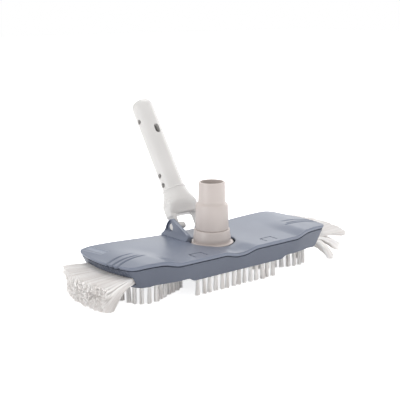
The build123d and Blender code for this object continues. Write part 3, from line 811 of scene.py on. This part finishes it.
def bristles(name, roots, tips, root_radius, tip_radius, stands_for, sides=5, steps=4, sag=None, tone=None):
    """Filaments as tapered tubes: each follows the line from its root to its tip, bowed by a parabola whose height in
    the middle is its own sag."""
    count = len(roots)
    t = np.linspace(0, 1, steps)[None, :, None]
    span = (tips - roots)[:, None, :]
    line = roots[:, None, :] + span * t
    if sag is not None:
        line = line + sag[:, None, :] * (t * (1 - t) * 4)
    along = span / np.linalg.norm(span, axis=-1, keepdims=True)
    side = np.cross(along, ANY_WAY)
    side /= np.linalg.norm(side, axis=-1, keepdims=True)
    over = np.cross(along, side)
    c, s = unit(np.linspace(0, 2 * np.pi, sides, endpoint=False)).T[:, None, None, :, None]
    radius = root_radius + (tip_radius - root_radius) * t
    ring = c * side[:, :, None, :] + s * over[:, :, None, :]
    points = line[:, :, None, :] + radius[..., None] * ring
    index = np.arange(count * steps * sides).reshape(count, steps, sides)
    beside = np.roll(index, -1, axis=2)
    quads = np.stack([index[:, :-1], beside[:, :-1], beside[:, 1:], index[:, 1:]], axis=-1).reshape(-1, 4).tolist()
    ends = index[:, 0, ::-1].tolist() + index[:, -1].tolist()
    shade = np.repeat(seeded.random(count) if tone is None else tone, steps * sides)
    corners, faces = points.reshape(-1, 3), quads + ends
    piece = make_piece(name, corners, faces, nylon, "head", stands_for, sharp=60.0)
    layer = piece.data.attributes.new("shade", "FLOAT", "POINT")
    layer.data.foreach_set("value", shade.astype(np.float32))
    return piece


TUFT_FILAMENTS, TUFT_RADIUS, TUFT_TOP = 42, 2.3, 24.5


def tuft_row(place_name, places):
    """Round tufts standing in a strip: filaments spread a little from each hole down to the floor."""
    count = len(places) * TUFT_FILAMENTS
    turn = seeded.random(count) * 2 * np.pi
    out = np.sqrt(seeded.random(count))
    spread = unit(turn) * out[:, None] * TUFT_RADIUS
    centre = np.repeat(places, TUFT_FILAMENTS, axis=0)
    lean = np.repeat(seeded.normal(0, 0.5, places.shape), TUFT_FILAMENTS, axis=0)
    waver = seeded.normal(0, 0.35, (count, 2))
    short = seeded.random(count) ** 3 * 1.6
    roots = with_height(centre + spread * 0.78, TUFT_TOP)
    tips = with_height(centre + spread * 1.15 + lean + waver, short)
    return bristles(f"{place_name}_tufts", roots, tips, 0.42, 0.38, (f"{place_name}_bristles",))


def along_line(points, count):
    """Places spread evenly along a line of plan points."""
    points = np.array(points, float)
    run = run_along(points)
    return read_off(np.linspace(0, run[-1], count), run, points)


# Each outer row of tufts starts near the middle line, runs out at a slant and turns round the corner along the end.
wing_line = np.array((
    (57.0, -12.0), (84.0, -23.5), (108.0, -33.5), (118.0, -33.0), (127.5, -28.5), (131.5, -18.0), (133.5, -6.0),
))
for end, sign in (("front", 1), ("back", -1)):
    tuft_row(f"{end}_middle", along_line(((-58.0, -45.3 * sign), (58.0, -45.3 * sign)), 14))
    for side, side_name in SIDES:
        tuft_row(f"{end}_{side_name}", along_line(wing_line * (side, sign), 12))


# Tip lines of the side brushes' three layers, each by its front, middle and back point, with the layer's half
# thickness. The right brush is splayed further than the left.
fan_layers = {
    "left": (
        ((181.0, -50.0, 29.5), (190.5, -2.0, 32.0), (178.5, 44.5, 33.5), 4.8),
        ((180.0, -44.0, 13.5), (188.0, -4.0, 15.5), (181.0, 36.0, 18.0), 8.5),
        ((169.0, -31.5, 2.2), (175.5, -2.0, 2.6), (174.5, 29.0, 5.0), 5.0),
    ),
    "right": (
        ((181.0, -50.0, 34.0), (190.5, -2.0, 36.5), (178.5, 44.5, 38.0), 3.6),
        ((180.5, -42.0, 14.0), (188.0, -4.0, 16.5), (181.0, 36.0, 19.0), 5.0),
        ((167.0, -43.0, 2.5), (178.0, -12.0, 8.0), (176.0, 26.0, 9.0), 2.6),
    ),
}
FAN_ROOT_X, FAN_HALF_WIDTH, FAN_ROOT_TOP, FAN_ROOT_TALL = 138.0, 38.5, 36.0, 7.2


def side_fan(side, layers, count=6300, locks=52):
    """Roots, tips, sag and tone of one side brush: three layers of filaments in locks, each lock drawn together, with
    a length and a tone of its own. Tips lie on their layer's parabola, within its thickness."""
    layer = seeded.choice(3, size=count, p=(0.38, 0.32, 0.3))
    lock = seeded.integers(0, locks, count)
    inside = seeded.random(count)
    across = (lock + 0.5 + 0.15 * seeded.uniform(-1, 1, (3, locks))[layer, lock] + 0.9 * (inside - 0.5)) / locks
    across = np.clip(across, 0, 1)[:, None]
    rise = seeded.uniform(-1, 1, count)
    tips = np.zeros((count, 3))
    for number, (front, middle, back, _) in enumerate(layers):
        tips += (layer == number)[:, None] * through(across, np.array(front), np.array(middle), np.array(back))
    thick = np.array([half for *_, half in layers])[layer]
    reach = seeded.normal(0, 0.6, (3, locks))[layer, lock] - seeded.random(count) ** 2 * 7
    tips[:, 0] += reach + seeded.normal(0, 0.5, count)
    tips[:, 1] += seeded.normal(0, 0.7, count)
    tips[:, 2] = np.maximum(tips[:, 2] + thick * rise, 0.4)
    depth = (layer + 0.5 - 0.45 * rise) / 3
    root_y, root_z = FAN_HALF_WIDTH * (2 * across[:, 0] - 1), FAN_ROOT_TOP - FAN_ROOT_TALL * depth
    roots = np.stack((np.full(count, FAN_ROOT_X), root_y, root_z), axis=-1)
    sag = np.zeros((count, 3))
    sag[:, 2] = (roots[:, 2] - tips[:, 2]) * np.array((0.25, 0.2, 0.22))[layer]
    flip = np.array((side, 1.0, 1.0))
    tone = 0.4 * seeded.random((3, locks))[layer, lock] + 0.6 * seeded.random(count)
    return roots * flip, tips * flip, sag * flip, tone


for side, side_name in SIDES:
    roots, tips, sag, tone = side_fan(side, fan_layers[side_name])
    stands_for = (f"{side_name}_side_bristles",)
    bristles(f"{side_name}_side_fan", roots, tips, 0.34, 0.45, stands_for, sides=4, sag=sag, tone=tone)

# ---- finishes of the pieces kept from the CAD ------------------------------------------------------

strips = [f"{end}_{place}_brush_strip" for end in ("front", "back") for place in ("left", "middle", "right")]
for material, nodes in (
    (strip_pp, (*strips, "left_side_brush_holder", "right_side_brush_holder")),
    (iron, ("left_ballast", "right_ballast")),
    (steel, ("casing_screws",)),
    (nitrile, ("throat_seal",)),
    (handle_abs, ("retaining_ring", "handle_tube")),
):
    for node in nodes:
        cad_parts[node].data.materials.clear()
        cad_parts[node].data.materials.append(material)

# ---- floor -----------------------------------------------------------------------------------------

floor_mesh = bpy.data.meshes.new("floor")
floor_mesh.from_pydata([(-9, -9, 0), (9, -9, 0), (9, 9, 0), (-9, 9, 0)], [], [(0, 1, 2, 3)])
floor_material, floor_tree, floor_shader = finish("pale_floor", 0.9)
floor_shader.inputs["Base Color"].default_value = rgb("#fdfdfd")
floor_shader.inputs["Emission Color"].default_value = rgb("#ffffff")
floor_tree.links.new(brighter_in_view(floor_tree, 0.28, 0.75), floor_shader.inputs["Emission Strength"])
floor_mesh.materials.append(floor_material)
floor = bpy.data.objects.new("floor", floor_mesh)
bpy.context.scene.collection.objects.link(floor)
